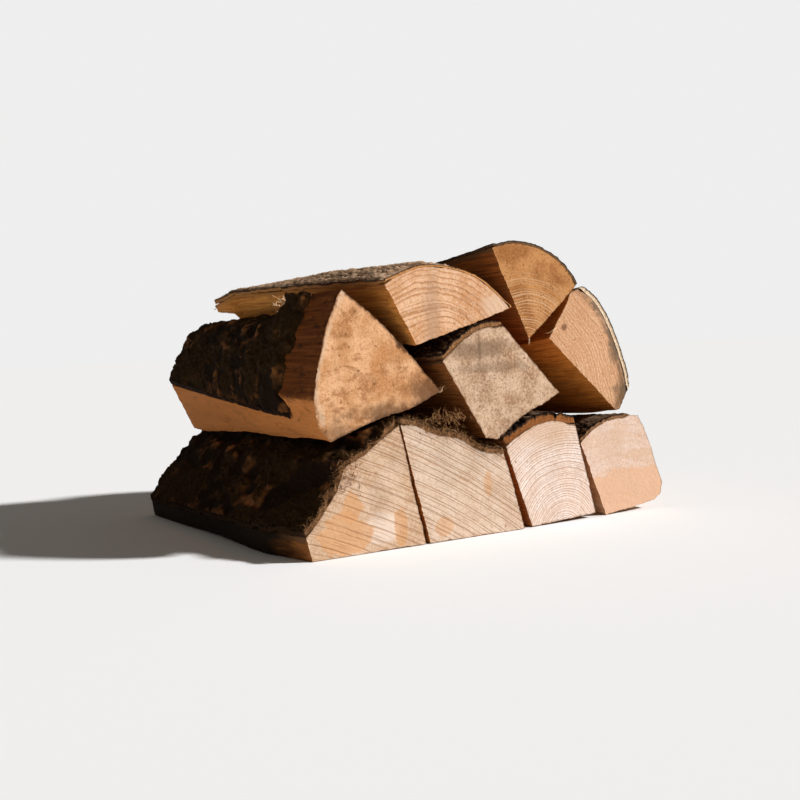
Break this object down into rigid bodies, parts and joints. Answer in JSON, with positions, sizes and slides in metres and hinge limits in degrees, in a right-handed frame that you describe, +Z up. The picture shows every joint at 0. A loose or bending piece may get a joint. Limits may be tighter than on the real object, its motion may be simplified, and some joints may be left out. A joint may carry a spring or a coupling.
{
  "type": "firewood stack",
  "caption": "Small stack of split firewood cut to stove length, wedges and blocks with strips of rough and mossy bark, cut ends facing forwards.",
  "frame": {"origin": "on the ground, under the middle of the stack", "axes": "+Z up, -Y towards the side that the cut ends show to, +X along the row of splits to the right as seen from there; the grain runs along Y"},
  "size_m": [0.388, 0.335, 0.242],
  "materials": {
    "fresh_wood": "matte",
    "orange_wood": "matte",
    "weathered_wood": "matte",
    "mossy_bark": "matte",
    "rough_bark": "matte",
    "grey_bark": "matte"
  },
  "bodies": {
    "root": {"split_base_1": "fresh_wood", "bark_base_1": "mossy_bark", "split_base_2": "fresh_wood", "bark_base_2": "rough_bark", "split_base_3": "fresh_wood", "bark_base_3": "rough_bark", "split_base_4": "fresh_wood", "bark_base_4": "rough_bark", "split_middle_1": "orange_wood", "bark_middle_1": "mossy_bark", "split_middle_2": "weathered_wood", "bark_middle_2": "rough_bark", "split_middle_3": "orange_wood", "bark_middle_3": "grey_bark", "split_top_1": "orange_wood", "bark_top_1": "grey_bark", "split_top_2": "orange_wood", "bark_top_2": "grey_bark"}
  },
  "joints": []
}
